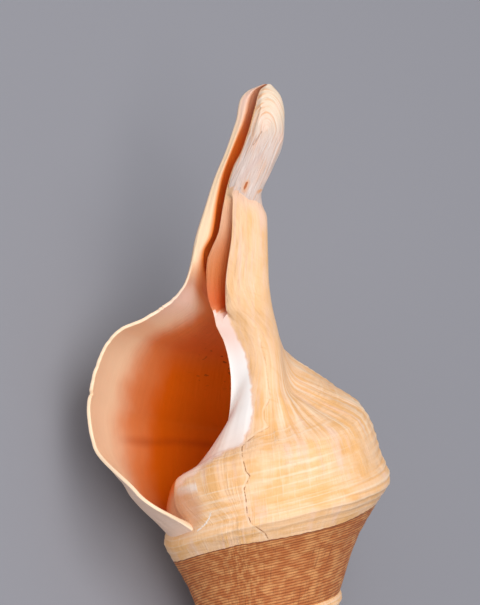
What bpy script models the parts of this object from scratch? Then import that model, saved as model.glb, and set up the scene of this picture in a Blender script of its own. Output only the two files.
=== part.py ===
"""Australian trumpet: the grown shell of a very large sea snail, lying with its aperture up.

The shell is one helical ribbon of growth. Its profile runs from the suture over the ramp, the
keel and the facet to the waist, and on up the siphonal canal. A growth angle counts in degrees
back from the outer lip (0) to the apex, and each turn is smaller than the next by one ratio.
Control values are in shell units, which SHELL_LENGTH sets, measured from the coiling axis and
up from the point where the coil would vanish. Seen with the aperture towards the viewer, x is
to the right, y away and z towards the canal.
"""
import math

import bmesh
import bpy
import numpy as np
from mathutils import Matrix, Vector

# Driving dimensions, in metres
SHELL_LENGTH = 0.600
LIP_THICKNESS = 0.003
WALL_THICKNESS = 0.0048

LENGTH_UNITS = 703.0
UNIT = SHELL_LENGTH / LENGTH_UNITS

# Direction that points down when the shell lies on its keel and its spire, canal raised
REST_DOWN = (-0.522, 0.757, -0.392)

# How the coil grows
TURN_RATIO = 1.61
PROFILE_ANGLE = -180.0
FIRST_ANGLE = -2160.0
CAVITY_TURN = 240.0
APEX_HEIGHT = 11.0

# Rows of the profile, counted from the suture
SEAM_ROW = 4
CORNER_ROW = 5
WAIST_ROW = 9
CANAL_ROW = 10

# Rows over which the cavity's corner at the suture opens to the full wall
CORNER_FILL = 0.75

# How far the waist bulges between whorl and canal, outside and on the pillar inside, and the
# growth angles between which it changes
WAIST_PULL = 0.75
PILLAR_PULL = 0.2
PILLAR_TURN = (-460.0, -390.0)

# Radius and height of each row on the right side, half a turn before the lip
PROFILE = [
    (76.7, 202.5),
    (94.0, 255.0),
    (115.5, 294.0),
    (127.0, 315.0),
    (123.5, 326.0),
    (118.0, 338.0),
    (112.0, 357.0),
    (101.0, 380.0),
    (66.0, 399.0),
    (36.0, 413.0),
]
# How far each row flares at the outer lip, outwards and up
LIP_FLARE = [(0, 0), (25, -33), (23, -36), (17, -15), (20, -12), (22, -4), (21, -6), (18, -15),
             (36, -27), (52, -30)]
# How much the callus thickens each row at the columella, outwards and up
CALLUS = [(0, 0), (0, -2), (0, -6), (0, -9), (1, -9), (5, -6), (9, -1), (11, 7), (24, 2),
          (17, 26)]
# How much fuller each row stands at the front of the waist, outwards and up, and the growth
# angles between which it does
WAIST_FILL = [(0, 0), (0, 0), (0, 0), (0, 0), (0, 0), (0, 0), (0, 0), (0, 1), (5, 6), (9, 22)]
FILL_TURN = (-345.0, -268.0, -190.0)
# How much higher each row stands on the left of the turn before the last, and the growth
# angles between which it does
SEAM_RISE = [0, 2, 8, 16, 18, 18, 12, 5, 0, 0]
RISE_TURN = (-430.0, -372.0, -326.0)
# How far round each row of the lip, and of the callus edge, runs past the rest, in degrees
LIP_SWEEP = [47, 30, 10, 3, 0, 0, 0, 0, 0, 0]
CALLUS_SWEEP = [47, 47, 47, 47, 47, 40, 28, 18, 8, 0]
# Growth angles over which the sweep and the flare fade, the callus comes and goes, and the lip
# thickens to the full wall
SWEEP_REACH = 100.0
FLARE_TURN = 120.0
CALLUS_RISE = (-445.0, -375.0)
CALLUS_FALL = (-340.0, -210.0)
LIP_TURN = 35.0

# Canal rows: height at the lip side, and how much lower each row is at the columella
CANAL_LEVELS = [516, 534, 551, 566, 591, 611, 636, 661, 686, 701, 709, 714]
CANAL_DROPS = [105, 78, 55, 34, 20, 10, 4, 0, 0, 0, 0, 0]
DROP_POWER = 1.4

# How square the canal's section is, and how far it sweeps round at the lip
NECK_POWER = 2.2
NECK_SWEEP = 8.0

# Outlines of the canal: height, then the distance from the axis
LEFT_EDGE = [(488, -104), (499, -94), (516, -79), (562, -68.3), (588, -60), (621, -49.4),
             (646, -39), (669, -31), (680, -27.5), (690, -26), (697, -24.6), (703, -21),
             (708, -15), (712, -5.5), (714, 0)]
RIGHT_EDGE = [(440, 29), (456, 19.5), (475, 12), (499, 7), (518, 5), (555, 4), (580, 3.3),
              (593, -1.6), (602, -2.5), (611, 0.5), (621, 5.4), (633, 11), (649, 18), (659, 20),
              (671, 20.8), (684, 21), (695, 19.4), (703, 16.5), (712, 9), (714, 7)]
FLAP_EDGE = [(390, -34), (413, -33), (433, -35), (456, -41), (470, -48), (482, -50.5),
             (495, -55.5), (508, -57.4), (524, -58), (536, -57), (545, -54), (554, -50),
             (563, -46), (579, -43), (591, -41), (614, -36), (632, -30), (646, -22.5),
             (659, -18), (671, -14), (683, -11), (694, -8), (702, -6), (708, -3.6), (714, 4)]
FLAP_DEPTH = [(390, -22), (433, -20), (470, -19), (508, -17), (554, -14), (614, -11),
              (646, -10), (690, -7), (708, -4), (714, -1)]
GAP_EDGE = [(480, -80), (492, -72), (506, -69.5), (525, -66), (544, -61), (562, -52),
            (596, -46.6), (621, -41), (641, -33.7), (657, -27.2), (673, -20.7), (686, -16.7),
            (697, -14.2), (707, -9.4), (714, 1.2)]
SLOT_EDGE = [(470, -37), (483, -38.3), (508, -39), (524, -37.6), (538, -35.7), (556, -33),
             (572, -30.4), (586, -28.3), (597, -24), (603, -21)]
MIDDLE = [(411, 0), (440, 0), (470, -12), (490, -30), (516, -37), (556, -32), (600, -31),
          (621, -22), (646, -11), (684, -3), (703, -1), (714, 4)]
BACK_DEPTH = [(440, 66), (480, 42), (501, 33), (516, 28), (556, 23), (640, 18), (690, 13),
              (705, 8), (714, 2)]
FRONT_DEPTH = [(411, 40), (446, 33), (480, 27), (516, 23), (556, 20), (600, 17), (650, 15),
               (690, 12), (705, 8), (714, 2)]
DEEP_EDGE = [(411, -4), (460, -6), (480, -10), (500, -22), (516, -27), (556, -24), (600, -22),
             (640, -12), (684, -1), (703, 3), (714, 5)]

# Depth of the channel's innermost edge as a share of the back's, and the heights over which
# the pillar inside the aperture turns into the columellar flap
DEEP_SHARE = 0.3
PILLAR_TOP = (430.0, 500.0)
# Lip heights between which the inner face turns into the canal's front band and its channel
FRONT_BAND = (496.0, 556.0)
DEEP_BAND = (496.0, 556.0)
# Places round the whorl that the inner face follows before it turns in to the pillar
WALL_PLACES = (-29.0, -58.0, -96.0, -130.0)

# The umbilical slot beside the columellar flap
SLOT_BOTTOM = (480.0, 488.0)
SLOT_TOP = (588.0, 603.0)
SLOT_DEPTH = [(480, 25), (500, 23), (540, 18), (580, 11), (603, 4)]
SLOT_UNDERCUT = 4.0
# Shares of the face at which the slot's shoulder and its floor lie, and the shoulder's depth
SHOULDER_PLACE = 0.34
FLOOR_PLACE = 0.6
SHOULDER_DEPTH = 0.85

# How the neck's face runs into the flap, the slot's shoulder, its floor and the flap's edge
FACE_ARRIVE = (-0.8, 0.3)
SHOULDER_LEAVE = -0.3
SHOULDER_ARRIVE = (-0.1, 0.3)
FLOOR_ARRIVE = 0.3
FLOOR_LEAVE = (-4.0, 4.0)
EDGE_ARRIVE = (-6.0, -5.0)
# How the flap's inner face leaves its edge and reaches the deep corner, and how much more it
# bulges on the pillar
FLAP_LEAVE = (0.1, 0.9)
FLAP_ARRIVE = (1.0, 0.3)
PILLAR_BULGE = (2.2, -2.5)

# The inner face of the outer lip along the canal, from the lip to the deep corner: how far the
# lip's inner edge is set in, how high the band's crest and its turn stand before the lip, where
# the wall plunges, and how far its floor reaches at the canal and at the aperture
CHANNEL_PLACES = (0.0, 0.12, 0.24, 0.4, 0.65, 1.0)
FULL_WALL_DEPTH = 14.0
FULL_LIP_DEPTH = 10.0
LIP_INSET = (1.6, 0.6)
BAND_RISE = 2.2
CREST_SHARE = 0.35
CREST_RISE = 5.0
TURN_RISE = 2.0
PLUNGE_INSET = 1.5
PLUNGE_SHARE = 0.4
FLOOR_REACH = (0.42, 0.77)
FLOOR_HEIGHTS = (530.0, 600.0)

# Finish of the stand-in material
SHELL_COLOUR = (0.85, 0.52, 0.27, 1.0)
SHELL_ROUGHNESS = 0.38


def curve(table, at):
    """Smooth curve through a table of (place, value) that never overshoots its points."""
    points = np.array(table, dtype=float)
    place = points[:, 0]
    value = points[:, 1]
    step = np.diff(place)
    slope = np.diff(value) / step
    tangent = np.zeros(len(place))
    tangent[0] = slope[0]
    tangent[-1] = slope[-1]
    for k in range(1, len(place) - 1):
        if slope[k - 1] * slope[k] > 0:
            before = 2 * step[k] + step[k - 1]
            after = step[k] + 2 * step[k - 1]
            tangent[k] = (before + after) / (before / slope[k - 1] + after / slope[k])
    at = np.clip(at, place[0], place[-1])
    cell = np.clip(np.searchsorted(place, at, side="right") - 1, 0, len(step) - 1)
    t = (at - place[cell]) / step[cell]
    return (value[cell] * (1 + 2 * t) * (1 - t) ** 2
            + step[cell] * tangent[cell] * t * (1 - t) ** 2
            + value[cell + 1] * t * t * (3 - 2 * t)
            + step[cell] * tangent[cell + 1] * t * t * (t - 1))


def ease(start, end, at):
    """0 before start, 1 after end, smooth between."""
    t = min(max((at - start) / (end - start), 0.0), 1.0)
    return t * t * (3 - 2 * t)


def there_and_back(places, at):
    """0 at the first place, 1 at the second and 0 from the third on, smooth between."""
    return ease(places[0], places[1], at) * (1.0 - ease(places[1], places[2], at))


def row_curve(values, row):
    """Smooth value at a fractional row, from one value for each row."""
    return float(curve([(k, value) for k, value in enumerate(values)], row))


def growth(angle):
    """Size of the whorl at a growth angle against the measured profile."""
    return TURN_RATIO ** ((angle - PROFILE_ANGLE) / 360.0)


def sweep_bump(angle):
    """1 where a turn passes the lip's place, fading to 0 a third of a turn away."""
    turn = angle % 360.0
    away = min(turn, 360.0 - turn)
    return 1.0 - ease(0.0, SWEEP_REACH, away)


def swept_angle(angle, row):
    """Growth angle that a row has really reached, with the lip's and callus's sweep."""
    sweep = LIP_SWEEP if angle > PROFILE_ANGLE else CALLUS_SWEEP
    return angle + row_curve(sweep, row) * sweep_bump(angle)


def profile_point(angle, row):
    """Point of one whorl by its profile, from the suture row to the waist row."""
    reached = swept_angle(angle, row)
    scale = growth(reached)
    flare = max(0.0, 1.0 + angle / FLARE_TURN) ** 2
    callus = ease(*CALLUS_RISE, reached) * (1.0 - ease(*CALLUS_FALL, reached))
    fill = there_and_back(FILL_TURN, angle)
    rise = there_and_back(RISE_TURN, reached)
    radius = row_curve([p[0] for p in PROFILE], row) * scale
    radius += row_curve([p[0] for p in LIP_FLARE], row) * flare
    radius += row_curve([p[0] for p in CALLUS], row) * callus
    radius += row_curve([p[0] for p in WAIST_FILL], row) * fill
    height = row_curve([p[1] for p in PROFILE], row) * scale
    height += row_curve([p[1] for p in LIP_FLARE], row) * flare
    height += row_curve([p[1] for p in CALLUS], row) * callus
    height += row_curve([p[1] for p in WAIST_FILL], row) * fill
    height += row_curve(SEAM_RISE, row) * rise
    azimuth = math.radians(180.0 + reached)
    return np.array([radius * math.cos(azimuth), radius * math.sin(azimuth), height])


def whorl_point(angle, row):
    """Point of the whorl's outer surface, whose suture lies on the turn before."""
    point = profile_point(angle, row)
    if row < 1.0 and angle > -360.0:
        seam = profile_point(angle - 360.0, SEAM_ROW)
        point += (seam - profile_point(angle, 0)) * (1.0 - row)
    return point


def canal_height(angle, row):
    """Height of a canal row at a growth angle."""
    place = row - CANAL_ROW
    turn = max(-angle / 360.0, 0.0)
    if turn > 1.0:
        turn = 1.0 - (turn - 1.0) * (360.0 - CAVITY_TURN) / CAVITY_TURN
    return row_curve(CANAL_LEVELS, place) - row_curve(CANAL_DROPS, place) * turn ** DROP_POWER


def neck_point(angle, height):
    """Outer skin of the canal, from the lip round the back to the front of the neck."""
    azimuth = math.radians(180.0 + angle + NECK_SWEEP * sweep_bump(angle))
    middle = curve(MIDDLE, height)
    side = middle - curve(LEFT_EDGE, height) if math.cos(azimuth) < 0 else \
        curve(RIGHT_EDGE, height) - middle
    depth = curve(BACK_DEPTH, height) if math.sin(azimuth) > 0 else curve(FRONT_DEPTH, height)
    across = abs(math.cos(azimuth)) / side
    along = abs(math.sin(azimuth)) / depth
    reach = (across ** NECK_POWER + along ** NECK_POWER) ** (-1.0 / NECK_POWER)
    return np.array([middle + reach * math.cos(azimuth), reach * math.sin(azimuth)])


def flap_edge(height):
    """Free edge of the columellar lip."""
    return np.array([curve(FLAP_EDGE, height), curve(FLAP_DEPTH, height)])


def hermite(start, end, leave, arrive, t):
    """Cubic from start to end with the given end tangents."""
    return (start * (1 + 2 * t) * (1 - t) ** 2 + leave * t * (1 - t) ** 2
            + end * t * t * (3 - 2 * t) + arrive * t * t * (t - 1))


def columella_face(angle, height):
    """Front of the neck, the umbilical slot and the flap, up to the flap's free edge."""
    t = (-270.0 - angle) / 90.0
    neck = neck_point(-270.0, height)
    edge = flap_edge(height)
    span = np.linalg.norm(edge - neck)
    smooth = hermite(neck, edge, np.array([-span, 0.0]), np.array(FACE_ARRIVE) * span, t)
    opened = ease(*SLOT_BOTTOM, height) * (1.0 - ease(*SLOT_TOP, height))
    if opened <= 0.0:
        return smooth
    depth = curve(SLOT_DEPTH, height)
    shoulder = np.array([curve(SLOT_EDGE, height), -SHOULDER_DEPTH * curve(FRONT_DEPTH, height)])
    floor = shoulder + np.array([SLOT_UNDERCUT, depth])
    if t < SHOULDER_PLACE:
        slot = hermite(neck, shoulder, np.array([SHOULDER_LEAVE * span, 0.0]),
                       np.array(SHOULDER_ARRIVE) * span, t / SHOULDER_PLACE)
    elif t < FLOOR_PLACE:
        slot = hermite(shoulder, floor, np.array([0.0, depth]),
                       np.array([0.0, FLOOR_ARRIVE * depth]),
                       (t - SHOULDER_PLACE) / (FLOOR_PLACE - SHOULDER_PLACE))
    else:
        slot = hermite(floor, edge, np.array(FLOOR_LEAVE), np.array(EDGE_ARRIVE),
                       (t - FLOOR_PLACE) / (1.0 - FLOOR_PLACE))
    return smooth + (slot - smooth) * opened


def deep_corner(height):
    """Innermost edge of the channel that runs up the canal."""
    return np.array([curve(DEEP_EDGE, height), DEEP_SHARE * curve(BACK_DEPTH, height)])


def flap_inside(angle, height):
    """Inner face of the columellar lip, from its free edge to the deep corner."""
    t = (-360.0 - angle) / CAVITY_TURN
    edge = flap_edge(height)
    corner = deep_corner(height)
    span = np.linalg.norm(corner - edge)
    pillar = 1.0 - ease(*PILLAR_TOP, height)
    leave = (np.array(FLAP_LEAVE) + np.array([0.0, PILLAR_BULGE[0] * pillar])) * span
    arrive = (np.array(FLAP_ARRIVE) + np.array([0.0, PILLAR_BULGE[1] * pillar])) * span
    return hermite(edge, corner, leave, arrive, t)


def canal_point(angle, row):
    """Point of the outer surface on the canal's rows, and of the flap's inner face."""
    height = canal_height(angle, row)
    if angle >= -270.0:
        flat = neck_point(angle, height)
    elif angle >= -360.0:
        flat = columella_face(angle, height)
    else:
        flat = flap_inside(angle, height)
    return np.array([flat[0], flat[1], height])


def surface_point(angle, row):
    """Point of the growing surface at any growth angle and row."""
    if row <= WAIST_ROW:
        return whorl_point(angle, row)
    if row >= CANAL_ROW:
        return canal_point(angle, row)
    small = 0.05
    start = whorl_point(angle, WAIST_ROW)
    end = canal_point(angle, CANAL_ROW)
    leave = (start - whorl_point(angle, WAIST_ROW - small)) / small
    arrive = (canal_point(angle, CANAL_ROW + small) - end) / small
    span = np.linalg.norm(end - start)
    pull = PILLAR_PULL + (WAIST_PULL - PILLAR_PULL) * ease(*PILLAR_TURN, angle)
    leave *= pull * span / np.linalg.norm(leave)
    arrive *= pull * span / np.linalg.norm(arrive)
    return hermite(start, end, leave, arrive, row - WAIST_ROW)


def outward(angle, row):
    """Unit normal of the outer surface."""
    small = 0.04
    low = max(row - small, 0.0)
    along = surface_point(angle + 1.0, row) - surface_point(angle - 1.0, row)
    up = surface_point(angle, row + small) - surface_point(angle, low)
    normal = np.cross(along, up)
    return normal / np.linalg.norm(normal)


def channel_point(angle, row):
    """Inner face of the outer lip on the canal's rows: a front band, then the deep channel."""
    t = -angle / CAVITY_TURN
    height = canal_height(angle, row)
    lip_height = canal_height(0.0, row)
    lip = neck_point(0.0, height)
    gap = curve(GAP_EDGE, height)
    corner = deep_corner(height)
    back = curve(BACK_DEPTH, height)
    wall = WALL_THICKNESS / UNIT * min(1.0, back / FULL_WALL_DEPTH)
    band = ease(*FRONT_BAND, lip_height)
    thin = min(1.0, back / FULL_LIP_DEPTH)
    lip_in = lip + np.array([LIP_INSET[0], LIP_INSET[1] - BAND_RISE * band]) * thin
    crest = np.array([gap - CREST_SHARE * (gap - lip[0]), lip[1] - CREST_RISE * thin])
    turned = np.array([gap, lip[1] - TURN_RISE * thin])
    plunge = np.array([gap + PLUNGE_INSET, lip[1] + PLUNGE_SHARE * back])
    low_reach = 1.0 - ease(*FLOOR_HEIGHTS, lip_height)
    reach = FLOOR_REACH[0] + (FLOOR_REACH[1] - FLOOR_REACH[0]) * low_reach
    hollow = np.array([gap + reach * (corner[0] - gap), back - wall])
    folded = [lip_in, crest, turned, plunge, hollow, corner]
    plain = [lip_in]
    for place in WALL_PLACES:
        skin = neck_point(place, height)
        middle = np.array([curve(MIDDLE, height), 0.0])
        inward = (middle - skin) / np.linalg.norm(middle - skin)
        plain.append(skin + inward * wall)
    plain.append(corner)
    deep_band = ease(*DEEP_BAND, lip_height)
    bands = [band, band, band, band, deep_band, deep_band]
    path = [p + (f - p) * share for p, f, share in zip(plain, folded, bands)]
    x = float(curve([(s, p[0]) for s, p in zip(CHANNEL_PLACES, path)], t))
    y = float(curve([(s, p[1]) for s, p in zip(CHANNEL_PLACES, path)], t))
    return np.array([x, y, height])


def wall_point(angle, row):
    """Point one wall thickness inside the outer surface, thinner at the lip."""
    inside = ease(0.0, LIP_TURN, -angle)
    wall = (LIP_THICKNESS + (WALL_THICKNESS - LIP_THICKNESS) * inside) / UNIT
    return surface_point(angle, row) - wall * outward(angle, row)


def inner_point(angle, row):
    """Inner face of the shell wall, from the suture's inner corner to the canal's end."""
    if row >= CANAL_ROW:
        return channel_point(angle, row)
    point = wall_point(angle, row)
    if row > WAIST_ROW:
        turn_in = channel_point(angle, CANAL_ROW) - wall_point(angle, CANAL_ROW)
        point += turn_in * (row - WAIST_ROW) / (CANAL_ROW - WAIST_ROW)
    corner = surface_point(angle - 360.0, CORNER_ROW)
    return corner + (point - corner) * ease(0.0, CORNER_FILL, row)


def row_places():
    """Rows of the mesh, closer together round the keel, the shoulder and the canal's end."""
    places = [0.0, 0.35, 0.7, 1.0, 1.5, 2.0, 2.5, 2.8, 3.0, 3.4, 4.0, 5.0, 6.0, 6.6, 7.0, 7.4]
    places += [8.0, 8.5, 9.0, 9.33, 9.66, 10.0]
    places += [11.0, 11.2, 11.4, 11.7, 12.0, 12.5, 13.0, 13.5, 14.0, 14.3, 14.7, 15.0, 15.5]
    places += [16.0, 16.5, 17.0, 17.5, 18.0, 18.5, 19.0, 19.5, 20.0, 20.5, 21.0]
    return places


def turn_places():
    """Columns of one turn, as growth angles from -360 to 0, closer together at the slot."""
    places = [-360.0, -352.0, -342.0, -332.0, -324.0, -316.0, -308.0, -301.0, -294.0, -284.0]
    places += [-270.0 + 15.0 * k for k in range(16)]
    places += [-35.0, -22.0, -10.0, 0.0]
    return places


def build_shell_mesh():
    """Closed mesh of the whole shell, its cavity and its spire."""
    rows = row_places()
    seam = rows.index(SEAM_ROW)
    corner = rows.index(CORNER_ROW)
    last = len(rows) - 1
    one_turn = turn_places()
    turns = int(round(-FIRST_ANGLE / 360.0))
    angles = []
    for turn in range(turns, 0, -1):
        angles += [a - 360.0 * (turn - 1) for a in one_turn[:-1]]
    angles.append(0.0)
    per_turn = len(one_turn) - 1
    lip_column = len(angles) - 1
    callus_column = lip_column - per_turn
    deep = angles.index(-360.0 - CAVITY_TURN)
    deep_inner = deep + per_turn
    canal = rows.index(CANAL_ROW)

    bm = bmesh.new()
    outer = {}
    inner = {}

    def new_vertex(point):
        return bm.verts.new([float(c) for c in point])

    for i, angle in enumerate(angles):
        for j, row in enumerate(rows):
            if j == 0 and i >= per_turn:
                outer[i, j] = outer[i - per_turn, seam]
            elif j <= seam or i >= callus_column or (i >= deep and j >= corner):
                outer[i, j] = new_vertex(surface_point(angle, row))
    for i in range(deep_inner, lip_column + 1):
        for j, row in enumerate(rows):
            if j == 0:
                inner[i, j] = outer[i - per_turn, corner]
            elif i == deep_inner and j >= canal:
                inner[i, j] = outer[deep, j]
            else:
                inner[i, j] = new_vertex(inner_point(angles[i], row))

    def quad(*corners):
        bm.faces.new(corners)

    for i in range(lip_column):
        for j in range(last):
            outside = i >= callus_column or j < seam
            columella = deep <= i < callus_column and j >= corner
            if outside or columella:
                quad(outer[i, j], outer[i + 1, j], outer[i + 1, j + 1], outer[i, j + 1])
    for i in range(deep_inner, lip_column):
        for j in range(last):
            quad(inner[i, j], inner[i, j + 1], inner[i + 1, j + 1], inner[i + 1, j])
    for j in range(last):
        quad(outer[lip_column, j], inner[lip_column, j], inner[lip_column, j + 1],
             outer[lip_column, j + 1])
    deep_wall = [outer[deep, j] for j in range(corner, canal + 1)]
    deep_wall += [inner[deep_inner, j] for j in range(canal - 1, 0, -1)]
    bm.faces.new(deep_wall)
    rim = [outer[i, last] for i in range(deep, lip_column + 1)]
    rim += [inner[i, last] for i in range(lip_column, deep_inner, -1)]
    bm.faces.new(rim)
    apex_ring = [outer[i, 0] for i in range(per_turn + 1)]
    apex_ring += [outer[0, j] for j in range(seam - 1, 0, -1)]
    apex = new_vertex((0.0, 0.0, APEX_HEIGHT))
    for k, vertex in enumerate(apex_ring):
        bm.faces.new((apex, apex_ring[(k + 1) % len(apex_ring)], vertex))
    bmesh.ops.triangulate(bm, faces=[f for f in bm.faces if len(f.verts) > 4])
    bmesh.ops.recalc_face_normals(bm, faces=bm.faces[:])
    bm.transform(Matrix.Scale(UNIT, 4))
    mesh = bpy.data.meshes.new("shell")
    bm.to_mesh(mesh)
    bm.free()
    return mesh


def lay_down(mesh):
    """Turn the mesh into its resting pose, with the origin under the middle of its box."""
    up = -Vector(REST_DOWN).normalized()
    ahead = Vector((0.0, 1.0, 0.0))
    ahead = (ahead - up * ahead.dot(up)).normalized()
    turn = Matrix((ahead.cross(up), ahead, up)).to_4x4()
    mesh.transform(turn)
    spots = np.array([v.co[:] for v in mesh.vertices])
    low = spots.min(axis=0)
    high = spots.max(axis=0)
    mesh.transform(Matrix.Translation((-(low[0] + high[0]) / 2, -(low[1] + high[1]) / 2, -low[2])))


def shell_material():
    """Stand-in finish of polished apricot shell."""
    material = bpy.data.materials.new("shell_apricot")
    material.use_nodes = True
    shader = material.node_tree.nodes["Principled BSDF"]
    shader.inputs["Base Color"].default_value = SHELL_COLOUR
    shader.inputs["Roughness"].default_value = SHELL_ROUGHNESS
    shader.inputs["Metallic"].default_value = 0.0
    return material


def main():
    for old in list(bpy.data.objects):
        bpy.data.objects.remove(old, do_unlink=True)
    collection = bpy.data.collections.new("australian_trumpet_shell")
    bpy.context.scene.collection.children.link(collection)
    mesh = build_shell_mesh()
    lay_down(mesh)
    mesh.materials.append(shell_material())
    shell = bpy.data.objects.new("shell", mesh)
    collection.objects.link(shell)
    shell.data.shade_smooth()
    shell.data.set_sharp_from_angle(angle=math.radians(50.0))


main()
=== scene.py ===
"""Australian trumpet shell: its fine surface and finish, and a plain studio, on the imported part.

The surface repeats the part's growth rules on a finer grid, and adds the relief and the masks
that the finish reads. Control values are in shell units: x to the right, y away and z towards
the canal's end, seen with the aperture towards the viewer.
"""
import math

import bpy
import numpy as np
from mathutils import Matrix, Vector


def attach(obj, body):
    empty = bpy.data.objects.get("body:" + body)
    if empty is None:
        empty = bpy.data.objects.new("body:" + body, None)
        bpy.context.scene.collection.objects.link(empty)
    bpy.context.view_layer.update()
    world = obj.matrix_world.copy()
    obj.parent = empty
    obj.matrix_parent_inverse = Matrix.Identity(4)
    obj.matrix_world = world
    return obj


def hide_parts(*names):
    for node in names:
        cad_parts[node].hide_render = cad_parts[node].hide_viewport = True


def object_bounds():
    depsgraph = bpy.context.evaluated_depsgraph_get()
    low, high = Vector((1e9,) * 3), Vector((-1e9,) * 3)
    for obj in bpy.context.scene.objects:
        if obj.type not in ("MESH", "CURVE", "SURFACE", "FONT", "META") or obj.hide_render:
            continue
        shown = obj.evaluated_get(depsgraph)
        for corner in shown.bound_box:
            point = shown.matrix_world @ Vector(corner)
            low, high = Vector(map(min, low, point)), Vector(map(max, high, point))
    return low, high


SLACK = 1e-6
NOISE_CELLS = 256

# Driving dimensions, in metres
SHELL_LENGTH = 0.600
LIP_THICKNESS = 0.003
WALL_THICKNESS = 0.0048

# One shell unit, in metres
LENGTH_UNITS = 703.0
UNIT = SHELL_LENGTH / LENGTH_UNITS

# Direction that points down when the shell lies on its keel and its spire, canal raised
REST_DOWN = (-0.522, 0.757, -0.392)

# How the coil grows
TURN_RATIO = 1.61
PROFILE_ANGLE = -180.0
FIRST_ANGLE = -2160.0
CAVITY_TURN = 240.0
# Growth angle at which the neck's front turns into the slot and the columellar flap
FACE_ANGLE = -270.0
APEX_HEIGHT = 11.0

# Rows of the profile, counted from the suture
BROWN_ROW = 2
SEAM_ROW = 4
CORNER_ROW = 5
WAIST_ROW = 9
CANAL_ROW = 10
END_ROW = 21

# Start, end and number of steps of each span of the fine mesh: its rows, and the growth angles
# of its columns outside and in the cavity
ROW_SPANS = [(0, 2, 34), (2, 5, 38), (5, 9, 52), (9, 10, 12), (10, 18, 48), (18, END_ROW, 14)]
OUTER_SPANS = [(FIRST_ANGLE, -720, 240), (-720, -360, 120), (-360, -180, 120), (-180, -30, 60),
               (-30, 0, 20)]
INNER_SPANS = [(-CAVITY_TURN, -30, 70), (-30, 0, 18)]
# Parts of the surface; the first two are also the material slots
OUTSIDE, INSIDE, RIM = 0, 1, 2

CORNER_FILL = 0.75
WAIST_PULL = 0.75
PILLAR_PULL = 0.2
PILLAR_TURN = (-460.0, -390.0)

# Radius and height of each row on the right side, half a turn before the lip
PROFILE = [(76.7, 202.5), (94.0, 255.0), (115.5, 294.0), (127.0, 315.0), (123.5, 326.0),
           (118.0, 338.0), (112.0, 357.0), (101.0, 380.0), (66.0, 399.0), (36.0, 413.0)]
# How far each row flares at the outer lip, outwards and up
LIP_FLARE = [(0, 0), (25, -33), (23, -36), (17, -15), (20, -12), (22, -4), (21, -6), (18, -15),
             (36, -27), (52, -30)]
# How much the callus thickens each row at the columella, outwards and up
CALLUS = [(0, 0), (0, -2), (0, -6), (0, -9), (1, -9), (5, -6), (9, -1), (11, 7), (24, 2),
          (17, 26)]
# How much fuller each row stands at the front of the waist, outwards and up, and the growth
# angles between which it does
WAIST_FILL = [(0, 0), (0, 0), (0, 0), (0, 0), (0, 0), (0, 0), (0, 0), (0, 1), (5, 6), (9, 22)]
FILL_TURN = (-345.0, -268.0, -268.0, -190.0)
# How much higher each row stands on the left of the turn before the last, and the growth
# angles between which it does
SEAM_RISE = [0, 2, 8, 16, 18, 18, 12, 5, 0, 0]
RISE_TURN = (-430.0, -372.0, -372.0, -326.0)
# How far round each row of the lip, and of the callus edge, runs past the rest, in degrees
LIP_SWEEP = [47, 30, 10, 3, 0, 0, 0, 0, 0, 0]
CALLUS_SWEEP = [47, 47, 47, 47, 47, 40, 28, 18, 8, 0]
SWEEP_REACH = 100.0
FLARE_TURN = 120.0
CALLUS_TURN = (-445.0, -375.0, -340.0, -210.0)
LIP_TURN = 35.0

# Canal rows: height at the lip side, and how much lower each row is at the columella
CANAL_LEVELS = [516, 534, 551, 566, 591, 611, 636, 661, 686, 701, 709, 714]
CANAL_DROPS = [105, 78, 55, 34, 20, 10, 4, 0, 0, 0, 0, 0]
DROP_POWER = 1.4
NECK_POWER = 2.2
NECK_SWEEP = 8.0

# Outlines of the canal: height, then the distance from the axis
LEFT_EDGE = [(488, -104), (499, -94), (516, -79), (562, -68.3), (588, -60), (621, -49.4),
             (646, -39), (669, -31), (680, -27.5), (690, -26), (697, -24.6), (703, -21),
             (708, -15), (712, -5.5), (714, 0)]
RIGHT_EDGE = [(440, 29), (456, 19.5), (475, 12), (499, 7), (518, 5), (555, 4), (580, 3.3),
              (593, -1.6), (602, -2.5), (611, 0.5), (621, 5.4), (633, 11), (649, 18), (659, 20),
              (671, 20.8), (684, 21), (695, 19.4), (703, 16.5), (712, 9), (714, 7)]
FLAP_EDGE = [(390, -34), (413, -33), (433, -35), (456, -41), (470, -48), (482, -50.5),
             (495, -55.5), (508, -57.4), (524, -58), (536, -57), (545, -54), (554, -50),
             (563, -46), (579, -43), (591, -41), (614, -36), (632, -30), (646, -22.5),
             (659, -18), (671, -14), (683, -11), (694, -8), (702, -6), (708, -3.6), (714, 4)]
FLAP_DEPTH = [(390, -22), (433, -20), (470, -19), (508, -17), (554, -14), (614, -11),
              (646, -10), (690, -7), (708, -4), (714, -1)]
GAP_EDGE = [(480, -80), (492, -72), (506, -69.5), (525, -66), (544, -61), (562, -52),
            (596, -46.6), (621, -41), (641, -33.7), (657, -27.2), (673, -20.7), (686, -16.7),
            (697, -14.2), (707, -9.4), (714, 1.2)]
SLOT_EDGE = [(470, -37), (483, -38.3), (508, -39), (524, -37.6), (538, -35.7), (556, -33),
             (572, -30.4), (586, -28.3), (597, -24), (603, -21)]
MIDDLE = [(411, 0), (440, 0), (470, -12), (490, -30), (516, -37), (556, -32), (600, -31),
          (621, -22), (646, -11), (684, -3), (703, -1), (714, 4)]
BACK_DEPTH = [(440, 66), (480, 42), (501, 33), (516, 28), (556, 23), (640, 18), (690, 13),
              (705, 8), (714, 2)]
FRONT_DEPTH = [(411, 40), (446, 33), (480, 27), (516, 23), (556, 20), (600, 17), (650, 15),
               (690, 12), (705, 8), (714, 2)]
DEEP_EDGE = [(411, -4), (460, -6), (480, -10), (500, -22), (516, -27), (556, -24), (600, -22),
             (640, -12), (684, -1), (703, 3), (714, 5)]
DEEP_SHARE = 0.3
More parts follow.
